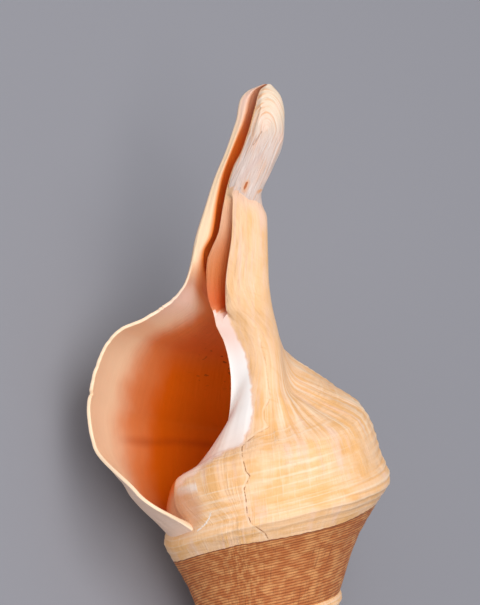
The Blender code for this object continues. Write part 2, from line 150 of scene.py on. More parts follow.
PILLAR_TOP = (430.0, 500.0)
FRONT_BAND = (496.0, 556.0)
DEEP_BAND = (496.0, 556.0)
HOLLOW_BAND = (530.0, 600.0)
WALL_ANGLES = (-29.0, -58.0, -96.0, -130.0)
CHANNEL_PLACES = (0.0, 0.12, 0.24, 0.4, 0.65, 1.0)

# The umbilical slot beside the columellar flap
SLOT_SPAN = (480.0, 488.0, 588.0, 603.0)
SLOT_DEPTH = [(480, 25), (500, 23), (540, 18), (580, 11), (603, 4)]
SLOT_UNDERCUT = 4.0
SHOULDER_PLACE = 0.34
FLOOR_PLACE = 0.6
SHOULDER_DEPTH = 0.85

# Lines and spots that are seen from the front, as (x, height)
SCAR_LINE = [(-4, 456), (2.5, 431), (3, 420), (6.6, 398), (0, 385), (0.5, 376), (5.6, 369),
             (-6, 363), (-14, 357), (-22, 350), (-22, 341), (-18, 325), (-14, 321), (-20, 308),
             (-18, 297), (-17, 284), (-13, 274), (1, 264), (4, 258)]
CALLUS_LINE = [(-86, 309), (-60, 330), (-36, 346), (-21, 351), (-18, 364), (-14, 366),
               (-11, 385), (-13, 415), (-18, 441), (-36, 478), (-37, 483), (-42, 484)]
NECK_LINE = [(-24, 604), (-15, 597), (-8, 596), (-2, 592), (3, 582), (6, 575)]
CRACK_LINE = [(-2, 666), (-11, 652)]
GROOVE_LINE = [(-4, 690), (-9, 674), (-12, 662)]
SMUDGE_LINE = [(-2, 642), (-12, 632), (-22, 618)]
HOLE_LINE = [(-17, 614), (-20, 607)]
FLAKE_LINE = [(-7, 604), (-3, 607)]
# Painted highlight: a pale patch on the body beside the aperture, along this line
GLAZE_HIGHLIGHT_LINE = [(-84, 304), (-62, 311), (-32, 309)]
CHIP_LINE = [(-66, 266), (-59, 272), (-55, 278), (-53, 284)]
# Painted shade along a crease on the inner wall of the aperture
CREASE_SHADE_LINE = [(-146, 354), (-112, 350), (-84, 351), (-52, 347)]
# The shaded corner under the lip, its squash, and its distances of full and no shade
RECESS_SPOT = (-80.0, 284.0)
RECESS_SQUASH = 0.8
RECESS_REACH = (12.0, 24.0)
# Middle of the arched lines on the canal's tip, their lean below it and their squash above it
TIP_MIDDLE = (3.0, 666.0)
TIP_LEAN = 0.42
TIP_SQUASH = 0.5
# Distances that stand for nowhere near a line, and depth that stands for the flap's inner face
FAR = 99.0
OFF = -30.0
FACE_DEPTH = 90.0
# Nicks in the outer lip, as (row, width in rows, depth in degrees)
LIP_NICKS = [(4.0, 0.10, 1.5), (2.3, 0.05, 0.5), (6.4, 0.06, 0.6), (12.3, 0.3, 2.5)]
# Wear of the outer lip, as (waves for each row, depth in degrees, seed); the last is on the
# rough rows only
LIP_WEAR = [(5.0, 0.35, 11), (17.0, 0.2, 12), (13.0, 1.2, 13)]
ROUGH_ROWS = (8.0, 8.6, 10.6, 12.0)

# Relief of the outer surface, in shell units
CORD_HEIGHT = 0.6
UPPER_CORD_EXTRA = 0.3
RIDGE_HEIGHT = 0.36
FOLD_HEIGHT = 1.25
SWELL_HEIGHT = 0.9
THREAD_HEIGHT = 0.22
STEP_HEIGHT = 1.6
BROAD_PITCH = 9.3
FINE_PITCH = 4.3

# Arc length along the profile at each row, and the brown ramp's width, in shell units
ROW_LEVELS = list(enumerate([0, 55, 99, 123, 135, 148, 168, 193, 234, 267]))
BROWN_ROW_SIZE = 42.0
CANAL_ROW_SIZE = 25.0
# Length of a degree of growth on the body whorl, for the finish
DEGREE_SIZE = 2.2
# How far the brown stands back at the front, and the growth angles between which it does
BROWN_SAG = 6.0
SAG_TURN = (-310.0, -232.0, -232.0, -185.0)
# Growth angles and rows over which the lip's ramp turns from brown to bare new shell
NEW_LIP_TURN = (-66.0, -30.0)
NEW_LIP_ROWS = (2.6, 4.4)
NEW_LIP_DROP = 160.0
THREAD_PITCH = 3.4

# Places across the rounded rim of the lip, and how cream-coloured each is
RIM_TURNS = (0.0, 0.25, 0.5, 0.75, 1.0)
RIM_SHARES = (0.8, 0.9, 0.6, 0.2, 0.0)

# Colours of the finish, as 8-bit screen values
APRICOT = (249, 203, 158)
OCHRE = (241, 184, 120)
PINK = (245, 205, 184)
CREAM = (250, 221, 190)
LINEN = (212, 191, 181)
FAN_CREAM = (228, 205, 180)
PALE = (252, 246, 242)
BLUSH = (255, 222, 204)
GREY_PINK = (206, 176, 166)
BROWN = (190, 106, 48)
DARK_BROWN = (126, 62, 26)
TAN = (224, 154, 92)
LIP_CREAM = (253, 224, 192)
PEACH = (255, 222, 184)
GLAZE_TOP = (240, 204, 190)
ORANGE = (229, 136, 78)
DEEP_ORANGE = (224, 104, 8)
RECESS = (212, 156, 124)
TOP_ORANGE = (218, 118, 66)
CANAL_ORANGE = (240, 138, 52)
CANAL_TAN = (222, 160, 124)
# Colour of the painted shade along the crease inside the aperture
CREASE_SHADE_RED = (172, 60, 14)
SLOT_ORANGE = (218, 94, 16)
SLOT_BROWN = (208, 114, 46)
SLOT_TAN = (226, 166, 122)
FLAP_EDGE_TAN = (238, 188, 152)
HOLE_ORANGE = (180, 94, 36)
SCAR_COLOUR = (172, 108, 64)
LIP_FACE = (247, 217, 198)

# Heights of the finish's bumps, in metres, and the angle above which an edge is sharp
OUTSIDE_BUMP = 0.0009
INSIDE_BUMP = 0.0012
SHARP_ANGLE = 60.0

# The photograph's frame and the camera
FRAME_HEIGHT_UNITS = 605.0
FRAME_CENTRE = (-24.0, 0.0, 493.5)
CAMERA_DISTANCE = 6.0
SENSOR = 36.0
VIEW_END = 200.0

# Lamps: place from the frame's middle, to the right, up and towards the viewer in metres, then
# size, power and colour
LAMPS = {
    "key": ((0.9, 0.9, 1.5), 1.1, 15.0, (1.0, 0.98, 0.96)),
    "fill": ((1.8, 0.3, 6.2), 3.0, 146.0, (1.0, 0.98, 0.97)),
    "side": ((-2.2, -0.1, 2.6), 1.6, 21.0, (1.0, 0.98, 0.96)),
}
WORLD_COLOUR = (0.88, 0.9, 0.94, 1.0)
WORLD_STRENGTH = 0.6
FLOOR_COLOUR = (0.27, 0.27, 0.3, 1.0)
FLOOR_ROUGHNESS = 0.9
FLOOR_RADIUS = 30.0
FLOOR_DROP = 0.0005


def curve_through(place, value, at):
    """Smooth curves that never overshoot: value has a column for each place asked for."""
    step = np.diff(place)
    slope = np.diff(value, axis=0) / step[:, None]
    tangent = np.zeros_like(value)
    tangent[0] = slope[0]
    tangent[-1] = slope[-1]
    for k in range(1, len(place) - 1):
        before = 2 * step[k] + step[k - 1]
        after = step[k] + 2 * step[k - 1]
        same = slope[k - 1] * slope[k] > 0
        low = np.where(same, slope[k - 1], 1.0)
        high = np.where(same, slope[k], 1.0)
        tangent[k] = np.where(same, (before + after) / (before / low + after / high), 0.0)
    at = np.clip(at, place[0], place[-1])
    cell = np.clip(np.searchsorted(place, at, side="right") - 1, 0, len(step) - 1)
    t = (at - place[cell]) / step[cell]
    column = np.arange(value.shape[1]) if value.shape[1] > 1 else 0
    return (value[cell, column] * (1 + 2 * t) * (1 - t) ** 2
            + step[cell] * tangent[cell, column] * t * (1 - t) ** 2
            + value[cell + 1, column] * t * t * (3 - 2 * t)
            + step[cell] * tangent[cell + 1, column] * t * t * (t - 1))


def curve(table, at):
    """Smooth curve through a table of (place, value)."""
    points = np.array(table, dtype=float)
    at = np.asarray(at, dtype=float)
    return curve_through(points[:, 0], points[:, 1:2], at.ravel()).reshape(at.shape)


def ease(start, end, at):
    """0 before start, 1 after end, smooth between."""
    t = np.clip((at - start) / (end - start), 0.0, 1.0)
    return t * t * (3 - 2 * t)


def window(start, full, fade, end, at):
    """0 up to start, 1 from full to fade and 0 from end on, smooth between."""
    return ease(start, full, at) * (1.0 - ease(fade, end, at))


def row_curve(values, row):
    """Smooth value at a fractional row, from one value for each row."""
    return curve(list(enumerate(values)), row)


def growth(angle):
    """Size of the whorl at a growth angle against the measured profile."""
    return TURN_RATIO ** ((angle - PROFILE_ANGLE) / 360.0)


def sweep_bump(angle):
    """1 where a turn passes the lip's place, fading to 0 on either side of it."""
    turn = angle % 360.0
    away = np.minimum(turn, 360.0 - turn)
    return 1.0 - ease(0.0, SWEEP_REACH, away)


def swept_angle(angle, row):
    """Growth angle that a row has reached, with the sweep of the lip and the callus."""
    sweep = np.where(angle > PROFILE_ANGLE, row_curve(LIP_SWEEP, row),
                     row_curve(CALLUS_SWEEP, row))
    return angle + sweep * sweep_bump(angle)


def profile_point(angle, row):
    """Point of one whorl by its profile, from the suture row to the waist row."""
    reached = swept_angle(angle, row)
    flare = np.maximum(0.0, 1.0 + angle / FLARE_TURN) ** 2
    callus = window(*CALLUS_TURN, reached)
    fill = window(*FILL_TURN, angle)
    terms = [(PROFILE, growth(reached)), (LIP_FLARE, flare), (CALLUS, callus), (WAIST_FILL, fill)]
    radius, height = [sum(row_curve([p[k] for p in table], row) * share
                          for table, share in terms) for k in (0, 1)]
    height += row_curve(SEAM_RISE, row) * window(*RISE_TURN, reached)
    azimuth = np.radians(180.0 + reached)
    return np.stack([radius * np.cos(azimuth), radius * np.sin(azimuth), height], axis=-1)


def whorl_point(angle, row):
    """Point of the whorl's outer surface, whose suture lies on the turn before."""
    point = profile_point(angle, row)
    zero = np.zeros_like(angle)
    shift = profile_point(angle - 360.0, zero + SEAM_ROW) - profile_point(angle, zero)
    share = np.where(angle > -360.0, np.clip(1.0 - row, 0.0, 1.0), 0.0)
    return point + shift * share[..., None]


def canal_height(angle, row):
    """Height of a canal row at a growth angle."""
    place = row - CANAL_ROW
    turn = np.maximum(-angle / 360.0, 0.0)
    mirrored = 1.0 - (turn - 1.0) * (360.0 - CAVITY_TURN) / CAVITY_TURN
    turn = np.maximum(np.where(turn > 1.0, mirrored, turn), 0.0)
    return row_curve(CANAL_LEVELS, place) - row_curve(CANAL_DROPS, place) * turn ** DROP_POWER


def flat_point(x, y):
    """Points of the section plane."""
    return np.stack([x, y], axis=-1)


def length(vectors):
    return np.linalg.norm(vectors, axis=-1)


def neck_point(angle, height):
    """Outer skin of the canal, from the lip round the back to the front of the neck."""
    angle = angle + np.zeros_like(height)
    azimuth = np.radians(180.0 + angle + NECK_SWEEP * sweep_bump(angle))
    middle = curve(MIDDLE, height)
    side = np.where(np.cos(azimuth) < 0, middle - curve(LEFT_EDGE, height),
                    curve(RIGHT_EDGE, height) - middle)
    depth = np.where(np.sin(azimuth) > 0, curve(BACK_DEPTH, height), curve(FRONT_DEPTH, height))
    over_side = np.abs(np.cos(azimuth)) / side
    over_depth = np.abs(np.sin(azimuth)) / depth
    reach = (over_side ** NECK_POWER + over_depth ** NECK_POWER) ** (-1.0 / NECK_POWER)
    return flat_point(middle + reach * np.cos(azimuth), reach * np.sin(azimuth))


def flap_edge(height):
    """Free edge of the columellar lip."""
    return flat_point(curve(FLAP_EDGE, height), curve(FLAP_DEPTH, height))


def hermite(start, end, leave, arrive, t):
    """Cubic from start to end with the given end tangents."""
    t = np.asarray(t)[..., None]
    return (start * (1 + 2 * t) * (1 - t) ** 2 + leave * t * (1 - t) ** 2
            + end * t * t * (3 - 2 * t) + arrive * t * t * (t - 1))


def across(x, y, size):
    """Vectors (x, y) in the section plane, each scaled by its own size."""
    size = np.asarray(size)
    return flat_point(x * size, y * size)


def face_share(angle):
    """0 at the neck's front to 1 at the flap's free edge, one turn behind the lip."""
    return (FACE_ANGLE - angle) / (360.0 + FACE_ANGLE)


def columella_face(angle, height):
    """Front of the neck, the umbilical slot and the flap, up to the flap's free edge."""
    t = face_share(angle)
    neck = neck_point(FACE_ANGLE, height)
    edge = flap_edge(height)
    span = length(edge - neck)
    one = np.ones_like(span)
    smooth = hermite(neck, edge, across(-1.0, 0.0, span), across(-0.8, 0.3, span), t)
    depth = curve(SLOT_DEPTH, height)
    shoulder = flat_point(curve(SLOT_EDGE, height), -SHOULDER_DEPTH * curve(FRONT_DEPTH, height))
    floor = shoulder + flat_point(SLOT_UNDERCUT * one, depth)
    first = hermite(neck, shoulder, across(-0.3, 0.0, span), across(-0.1, 0.3, span),
                    np.clip(t / SHOULDER_PLACE, 0, 1))
    second = hermite(shoulder, floor, across(0.0, 1.0, depth), across(0.0, 0.3, depth),
                     np.clip((t - SHOULDER_PLACE) / (FLOOR_PLACE - SHOULDER_PLACE), 0, 1))
    third = hermite(floor, edge, across(-4.0, 4.0, one), across(-6.0, -5.0, one),
                    np.clip((t - FLOOR_PLACE) / (1.0 - FLOOR_PLACE), 0, 1))
    slot = np.where((t < SHOULDER_PLACE)[..., None], first,
                    np.where((t < FLOOR_PLACE)[..., None], second, third))
    return smooth + (slot - smooth) * window(*SLOT_SPAN, height)[..., None]


def deep_corner(height):
    """Innermost edge of the channel that runs up the canal."""
    return flat_point(curve(DEEP_EDGE, height), DEEP_SHARE * curve(BACK_DEPTH, height))


def flap_inside(angle, height):
    """Inner face of the columellar lip, from its free edge to the deep corner."""
    t = (-360.0 - angle) / CAVITY_TURN
    edge = flap_edge(height)
    corner = deep_corner(height)
    span = length(corner - edge)
    pillar = 1.0 - ease(*PILLAR_TOP, height)
    leave = flat_point(0.1 * span, (0.9 + 2.2 * pillar) * span)
    arrive = flat_point(span, (0.3 - 2.5 * pillar) * span)
    return hermite(edge, corner, leave, arrive, t)


def canal_point(angle, row):
    """Point of the outer surface on the canal's rows, and of the flap's inner face."""
    height = canal_height(angle, row)
    neck = neck_point(np.maximum(angle, FACE_ANGLE), height)
    face = columella_face(np.clip(angle, -360.0, FACE_ANGLE), height)
    inside = flap_inside(np.minimum(angle, -360.0), height)
    flat = np.where((angle >= FACE_ANGLE)[..., None], neck,
                    np.where((angle >= -360.0)[..., None], face, inside))
    return np.concatenate([flat, height[..., None]], axis=-1)


def surface_point(angle, row):
    """Point of the growing surface at any growth angle and row."""
    angle, row = np.broadcast_arrays(np.asarray(angle, float), np.asarray(row, float))
    waist = np.full(row.shape, float(WAIST_ROW))
    canal = np.full(row.shape, float(CANAL_ROW))
    small = 0.05
    low = whorl_point(angle, np.minimum(row, waist))
    high = canal_point(angle, np.maximum(row, canal))
    start = whorl_point(angle, waist)
    end = canal_point(angle, canal)
    leave = start - whorl_point(angle, waist - small)
    arrive = canal_point(angle, canal + small) - end
    span = length(end - start)
    pull = PILLAR_PULL + (WAIST_PULL - PILLAR_PULL) * ease(*PILLAR_TURN, angle)
    leave *= (pull * span / length(leave))[..., None]
    arrive *= (pull * span / length(arrive))[..., None]
    bridge = hermite(start, end, leave, arrive, np.clip(row - WAIST_ROW, 0, 1))
    return np.where((row <= WAIST_ROW)[..., None], low,
                    np.where((row >= CANAL_ROW)[..., None], high, bridge))


def outward(angle, row):
    """Unit normal of the outer surface."""
    small = 0.04
    low = np.maximum(row - small, 0.0)
    along = surface_point(angle + 1.0, row) - surface_point(angle - 1.0, row)
    up = surface_point(angle, row + small) - surface_point(angle, low)
    normal = np.cross(along, up)
    return normal / length(normal)[..., None]


def channel_point(angle, row):
    """Inner face of the outer lip on the canal's rows: a front band, then the deep channel."""
    t = -angle / CAVITY_TURN
    height = canal_height(angle, row)
    lip_height = canal_height(np.zeros_like(angle), row)
    lip = neck_point(0.0, height)
    gap = curve(GAP_EDGE, height)
    corner = deep_corner(height)
    back = curve(BACK_DEPTH, height)
    wall = WALL_THICKNESS / UNIT * np.minimum(1.0, back / 14.0)
    band = ease(*FRONT_BAND, lip_height)
    thin = np.minimum(1.0, back / 10.0)
    lip_in = lip + flat_point(1.6 * thin, (-2.2 * band + 0.6) * thin)
    crest = flat_point(gap - 0.35 * (gap - lip[..., 0]), lip[..., 1] - 5.0 * thin)
    turned = flat_point(gap, lip[..., 1] - 2.0 * thin)
    plunge = flat_point(gap + 1.5, lip[..., 1] + 0.4 * back)
    reach = 0.42 + 0.35 * (1.0 - ease(*HOLLOW_BAND, lip_height))
    hollow = flat_point(gap + reach * (corner[..., 0] - gap), back - wall)
    folded = [lip_in, crest, turned, plunge, hollow, corner]
    plain = [lip_in]
    for place in WALL_ANGLES:
        skin = neck_point(place, height)
        middle = flat_point(curve(MIDDLE, height), np.zeros_like(height))
        inward = (middle - skin) / length(middle - skin)[..., None]
        plain.append(skin + inward * wall[..., None])
    plain.append(corner)
    deep_band = ease(*DEEP_BAND, lip_height)
    bands = [band, band, band, band, deep_band, deep_band]
    path = [p + (f - p) * share[..., None] for p, f, share in zip(plain, folded, bands)]
    places = np.array(CHANNEL_PLACES)
    flat = [curve_through(places, np.stack([p[..., k].ravel() for p in path]), t.ravel())
            for k in (0, 1)]
    return np.stack([flat[0].reshape(t.shape), flat[1].reshape(t.shape), height], axis=-1)


def wall_point(angle, row):
    """Point one wall thickness inside the outer surface, thinner at the lip."""
    inside = ease(0.0, LIP_TURN, -angle)
    wall = (LIP_THICKNESS + (WALL_THICKNESS - LIP_THICKNESS) * inside) / UNIT
    return surface_point(angle, row) - wall[..., None] * outward(angle, row)


def inner_point(angle, row):
    """Inner face of the shell wall, from the suture's inner corner to the canal's end."""
    canal = np.full(row.shape, float(CANAL_ROW))
    channel = channel_point(angle, np.maximum(row, canal))
    point = wall_point(angle, np.minimum(row, canal))
    turn_in = channel_point(angle, canal) - wall_point(angle, canal)
    share = np.clip((row - WAIST_ROW) / (CANAL_ROW - WAIST_ROW), 0, 1)
    point += turn_in * share[..., None]
    corner = surface_point(angle - 360.0, np.full(row.shape, float(CORNER_ROW)))
    wall = corner + (point - corner) * ease(0.0, CORNER_FILL, row)[..., None]
    return np.where((row >= CANAL_ROW)[..., None], channel, wall)


def noise(u, v, seed):
    """Smooth value noise of two coordinates, from -1 to 1."""
    cells = NOISE_CELLS
    table = np.random.RandomState(seed).uniform(-1.0, 1.0, (cells, cells))
    iu = np.floor(u).astype(int)
    iv = np.floor(v).astype(int)
    fu = u - iu
    fv = v - iv
    fu = fu * fu * (3 - 2 * fu)
    fv = fv * fv * (3 - 2 * fv)
    a = table[iu % cells, iv % cells]
    b = table[(iu + 1) % cells, iv % cells]
    c = table[iu % cells, (iv + 1) % cells]
    d = table[(iu + 1) % cells, (iv + 1) % cells]
    return (a * (1 - fu) + b * fu) * (1 - fv) + (c * (1 - fu) + d * fu) * fv


def line_distance(points, line):
    """Signed distance in the front view from points to a line, positive on its right."""
    x = points[..., 0]
    z = points[..., 2]
    best = np.full(x.shape, 1e9)
    sign = np.ones(x.shape)
    for (x0, z0), (x1, z1) in zip(line[:-1], line[1:]):
        dx = x1 - x0
        dz = z1 - z0
        t = np.clip(((x - x0) * dx + (z - z0) * dz) / (dx * dx + dz * dz), 0.0, 1.0)
        away = np.hypot(x - x0 - t * dx, z - z0 - t * dz)
        side = np.where(dz * (x - x0) - dx * (z - z0) > 0, 1.0, -1.0)
        near = away < best
        best = np.where(near, away, best)
        sign = np.where(near, side, sign)
    return best * sign


def spread(spans):
    """Evenly spaced places along each span in turn, and the end of the last."""
    places = [start + (end - start) * np.arange(count) / count for start, end, count in spans]
    return np.append(np.concatenate(places), spans[-1][1])


def profile_level(row):
    """Arc length along the profile at a row, up to the waist."""
    return curve(ROW_LEVELS, np.minimum(row, WAIST_ROW))


def cords(angle, row):
    """Spiral cords of the body whorl, from about -1 in a groove to 1 on a cord."""
    level = profile_level(row)
    wander = level + noise(angle / 40.0, row, 3) * 1.5
    broad = np.cos(2 * np.pi * wander / BROAD_PITCH)
    broad = broad * (0.6 + 0.4 * noise(angle / 35.0, level / 25.0, 4))
    fine = np.cos(2 * np.pi * wander / FINE_PITCH)
    fine = fine * (0.5 + 0.5 * noise(angle / 25.0, level / 14.0, 8))
    return (0.7 * broad + 0.4 * fine) * ease(1.95, 2.25, row) * (1.0 - ease(7.8, 9.0, row))


def relief(angle, row, points):
    """Height of the ridges and steps that stand on the outer surface, in shell units."""
    size = growth(angle)
    cord_height = CORD_HEIGHT + UPPER_CORD_EXTRA * (1.0 - ease(5.0, 7.0, row))
    height = cord_height * cords(angle, row) * size
    ridges = noise(angle / 2.6, row * 0.7, 5) + 0.6 * noise(angle / 1.1, row * 0.9, 6)
    body = 1.0 - ease(8.0, 9.6, row)
    height = height + RIDGE_HEIGHT * ridges * body * size
    folds = noise(angle / 4.2, row * 0.5, 9) * ease(5.2, 6.6, row) * ease(-288.0, -250.0, angle)
    height = height + FOLD_HEIGHT * folds * (1.0 - ease(8.4, 9.4, row)) * size
    swell = noise(angle / 13.0, row * 0.35, 7)
    height = height + SWELL_HEIGHT * swell * ease(1.0, 3.0, row) * body * size
    thread = np.sin(2 * np.pi * profile_level(row) / THREAD_PITCH)
    height = height + THREAD_HEIGHT * thread * (1.0 - ease(1.8, 2.2, row)) * size
    calm = ease(-352.0, -318.0, angle) + (1.0 - ease(-380.0, -361.0, angle)) * (row < CORNER_ROW)
    height = height * np.clip(calm, 0, 1) * (1.0 - 0.8 * ease(-12.0, 0.0, angle))
    seam = np.where(angle < -360.0, 1.0 - ease(3.5, 4.0, row), 1.0)
    height = height * ease(0.0, 0.3, row) * seam
    front = (points[..., 1] < 0) & (row > CORNER_ROW) & (angle > -345.0) & (angle < -200.0)
    step = ease(-1.5, 1.5, -line_distance(points, NECK_LINE))
    near = 1.0 - ease(640.0, 690.0, points[..., 2])
    return height + np.where(front & (points[..., 2] > 560.0), STEP_HEIGHT * step * near, 0.0)


def nicked(angle, row):
    """Growth angles of a grid, drawn back near the lip where its edge is worn or nicked."""
    depth = 0.0
    for (waves, wear, seed), share in zip(LIP_WEAR, (1.0, 1.0, window(*ROUGH_ROWS, row))):
        depth = depth + wear * share * np.abs(noise(row * waves, row * 0.0, seed))
    for place, width, nick in LIP_NICKS:
        depth = depth + nick * np.exp(-((row - place) / width) ** 2)
    return angle - depth * ease(-8.0, 0.0, angle)


def grid_faces(first, columns, rows):
    """Quads of a grid whose vertices are numbered column by column, by column and row."""
    i, j = np.indices((columns - 1, rows - 1))
    a = first + i * rows + j
    return np.stack([a, a + rows, a + rows + 1, a + 1], axis=-1)


def build_surface():
    """Points, faces, places and closing rings of the fine surface, in shell units."""
    rows = spread(ROW_SPANS)
    columns = spread(OUTER_SPANS)
    count = len(rows)
    seam = int(np.searchsorted(rows, SEAM_ROW))
    corner = int(np.searchsorted(rows, CORNER_ROW))
    deep = int(np.searchsorted(columns, -360.0 - CAVITY_TURN))
    callus = int(np.searchsorted(columns, -360.0))
    angle, row = np.meshgrid(columns, rows, indexing="ij")
    angle = nicked(angle, row)
    outer = surface_point(angle, row)
    normal = outward(angle, row)
    outer = outer + normal * relief(angle, row, outer)[..., None]

    inner_columns = spread(INNER_SPANS)
    inner_angle, inner_row = np.meshgrid(inner_columns, rows, indexing="ij")
    inner_angle = nicked(inner_angle, inner_row)
    inner = inner_point(inner_angle, inner_row)

    lip_out = outer[-1]
    lip_in = inner[-1]
    ahead = outer[-1] - outer[-2]
    ahead = ahead / np.maximum(length(ahead), SLACK)[:, None]
    half = 0.5 * length(lip_out - lip_in)[:, None]
    rim = []
    for turn in RIM_TURNS:
        bow = math.sin(math.pi * turn)
        across_rim = 0.5 - 0.5 * math.cos(math.pi * turn)
        rim.append(lip_out + (lip_in - lip_out) * across_rim + ahead * half * 0.5 * bow)
    rim = np.stack(rim)

    points = [outer.reshape(-1, 3), inner.reshape(-1, 3), rim.reshape(-1, 3)]
    first_inner = len(points[0])
    first_rim = first_inner + len(points[1])

    outside = grid_faces(0, len(columns), count)
    i, j = np.indices(outside.shape[:2])
    outside = outside[(i >= callus) | (j < seam) | ((i >= deep) & (j >= corner))]
    inside = grid_faces(first_inner, len(inner_columns), count).reshape(-1, 4)[:, ::-1]
    edge = grid_faces(first_rim, len(RIM_TURNS), count).reshape(-1, 4)
    faces = [outside, inside, edge]
    walled = (angle < -361.0) & (row >= CORNER_ROW)
    rim_size = len(RIM_TURNS) * count
    place = {
        "angle": np.concatenate([angle.ravel(), inner_angle.ravel(), np.zeros(rim_size)]),
        "row": np.concatenate([row.ravel(), inner_row.ravel(), np.tile(rows, len(RIM_TURNS))]),
        "rim": np.concatenate([np.zeros(angle.size + inner_angle.size),
                               np.repeat(RIM_SHARES, count)]),
        "part": np.concatenate([np.where(walled.ravel(), INSIDE, OUTSIDE),
                                np.full(inner_angle.size, INSIDE), np.full(rim_size, RIM)]),
    }
    last = count - 1
    end_ring = [i * count + last for i in range(deep, len(columns))]
    end_ring += [first_inner + i * count + last for i in range(len(inner_columns) - 1, 0, -1)]
    deep_ring = [deep * count + j for j in range(corner, count)
                 if rows[j] <= CANAL_ROW + SLACK]
    deep_ring += [first_inner + j for j in range(count - 1, -1, -1)
                  if 0 < rows[j] < CANAL_ROW - SLACK]
    return np.concatenate(points), faces, place, [end_ring, deep_ring]


def masks(points, place):
    """Masks and distances in shell units that the finish reads at each vertex."""
    angle = place["angle"]
    row = place["row"]
    part = place["part"]
    x, y, z = points.T
    outer = part == OUTSIDE
    facing = outer & (y < 0)
    by_mouth = facing & (angle < -330.0)
    front = facing & (angle > -359.0) & (row > CORNER_ROW - 0.5)
    on_canal = outer & (row > WAIST_ROW)
    size = np.maximum(growth(angle), 0.3)
    level = profile_level(row) + np.maximum(row - WAIST_ROW, 0.0) * CANAL_ROW_SIZE
    opened = window(*SLOT_SPAN, z)
    turned = face_share(angle)
    new_lip = ease(*NEW_LIP_TURN, angle) * (1.0 - ease(*NEW_LIP_ROWS, row))
    neck_side = np.clip(-line_distance(points, NECK_LINE), OFF, -OFF)
    recess = np.hypot(x - RECESS_SPOT[0], RECESS_SQUASH * (z - RECESS_SPOT[1]))
    in_recess = (y < 0) & (part != RIM) & (angle < -330.0)
    past_tip = z - TIP_MIDDLE[1]
    values = {
        "across": level * size,
        "turn_level": level,
        "along": angle * DEGREE_SIZE,
        "front_x": x,
        "height": z,
        "raised": np.where(outer, cords(angle, row), 0.0),
        "brown": ((BROWN_ROW - row) * BROWN_ROW_SIZE * size - NEW_LIP_DROP * new_lip
                  - BROWN_SAG * window(*SAG_TURN, angle)),
        "lip_face": np.where(outer, new_lip, 0.0),
        "edge": place["rim"],
        "recess": np.where(in_recess, 1.0 - ease(*RECESS_REACH, recess), 0.0),
        "depth": np.where(part == INSIDE, np.where(angle < -300.0, FACE_DEPTH, -angle), 0.0),
        "scar": np.where(facing, line_distance(points, SCAR_LINE), FAR),
        "white": np.where(front & (z < SLOT_SPAN[1]) & (angle < -240.0),
                          -line_distance(points, CALLUS_LINE), OFF),
        "fasciole": np.where(outer & (z > 560.0) & (angle > -345.0), neck_side, OFF),
        "slot": np.where(on_canal, opened * ease(SHOULDER_PLACE, FLOOR_PLACE, turned), 0.0),
        "flap": np.where(on_canal, opened * ease(0.64, 0.96, turned), 0.0),
        "arch": np.hypot(x - TIP_MIDDLE[0] - TIP_LEAN * np.minimum(past_tip, 0.0),
                         TIP_SQUASH * np.maximum(past_tip, 0.0)),
    }
    lines = {
        "crack": (CRACK_LINE, front),
        "groove": (GROOVE_LINE, front),
        "smudge": (SMUDGE_LINE, front),
        "hole": (HOLE_LINE, front),
        "flake": (FLAKE_LINE, front),
        # painted highlight beside the aperture
        "glaze": (GLAZE_HIGHLIGHT_LINE, by_mouth),
        "chip": (CHIP_LINE, by_mouth),
        "fold": (CREASE_SHADE_LINE, part == INSIDE),
    }
    for name, (line, zone) in lines.items():
        values[name] = np.where(zone, np.abs(line_distance(points, line)), FAR)
    return values


def make_mesh():
    """The fine surface as one mesh in the shell's own frame, with masks and material slots."""
    points, faces, place, rings = build_surface()
    values = masks(points, place)
    rows = spread(ROW_SPANS)
    seam = int(np.searchsorted(rows, SEAM_ROW))
    one_turn = int(np.searchsorted(spread(OUTER_SPANS), FIRST_ANGLE + 360.0))
    apex_ring = [i * len(rows) for i in range(one_turn + 1)] + list(range(seam - 1, 0, -1))
    apex = len(points)
    points = np.concatenate([points, [[0.0, 0.0, APEX_HEIGHT]]])
    values = {name: np.append(value, value[0]) for name, value in values.items()}
    polygons = [f.tolist() for part in faces for f in part] + rings
    outside = faces[0]
    walled = ((place["angle"][outside[:, 1]] < -360.0 + SLACK)
              & (place["row"][outside[:, 0]] >= CORNER_ROW))
    slots = np.where(walled, INSIDE, OUTSIDE).tolist()
    slots += [INSIDE] * (len(polygons) - len(slots))
    polygons += [[apex, apex_ring[(k + 1) % len(apex_ring)], v] for k, v in enumerate(apex_ring)]
    slots += [OUTSIDE] * len(apex_ring)
    used = np.zeros(len(points), dtype=bool)
    for polygon in polygons:
        used[polygon] = True
    renumber = np.cumsum(used) - 1
    polygons = [[int(renumber[v]) for v in polygon] for polygon in polygons]
    points = points[used]
    mesh = bpy.data.meshes.new("trumpet_shell")
    mesh.from_pydata((points * UNIT).tolist(), [], polygons)
    mesh.polygons.foreach_set("material_index", slots)
    for name, value in values.items():
        layer = mesh.attributes.new(name, "FLOAT", "POINT")
        layer.data.foreach_set("value", value[used].astype(np.float32))
    mesh.validate()
    return mesh


def lay_down(mesh, low, high):
    """Turn the mesh into its resting pose and fit it inside the part's box."""
    up = -Vector(REST_DOWN).normalized()
    ahead = Vector((0.0, 1.0, 0.0))
    ahead = (ahead - up * ahead.dot(up)).normalized()
    turn = Matrix((ahead.cross(up), ahead, up)).to_4x4()
    mesh.transform(turn)
    spots = np.empty(len(mesh.vertices) * 3)
    mesh.vertices.foreach_get("co", spots)
    spots = spots.reshape(-1, 3)
    least = spots.min(axis=0)
    most = spots.max(axis=0)
    share = min(1.0, min((high[k] - low[k]) / (most[k] - least[k]) for k in range(3)))
    middle = Vector(((least[0] + most[0]) / 2, (least[1] + most[1]) / 2, least[2]))
    goal = Vector(((low[0] + high[0]) / 2, (low[1] + high[1]) / 2, low[2]))
    fit = Matrix.Translation(goal) @ Matrix.Scale(share, 4) @ Matrix.Translation(-middle)
    mesh.transform(fit)
    return fit @ turn


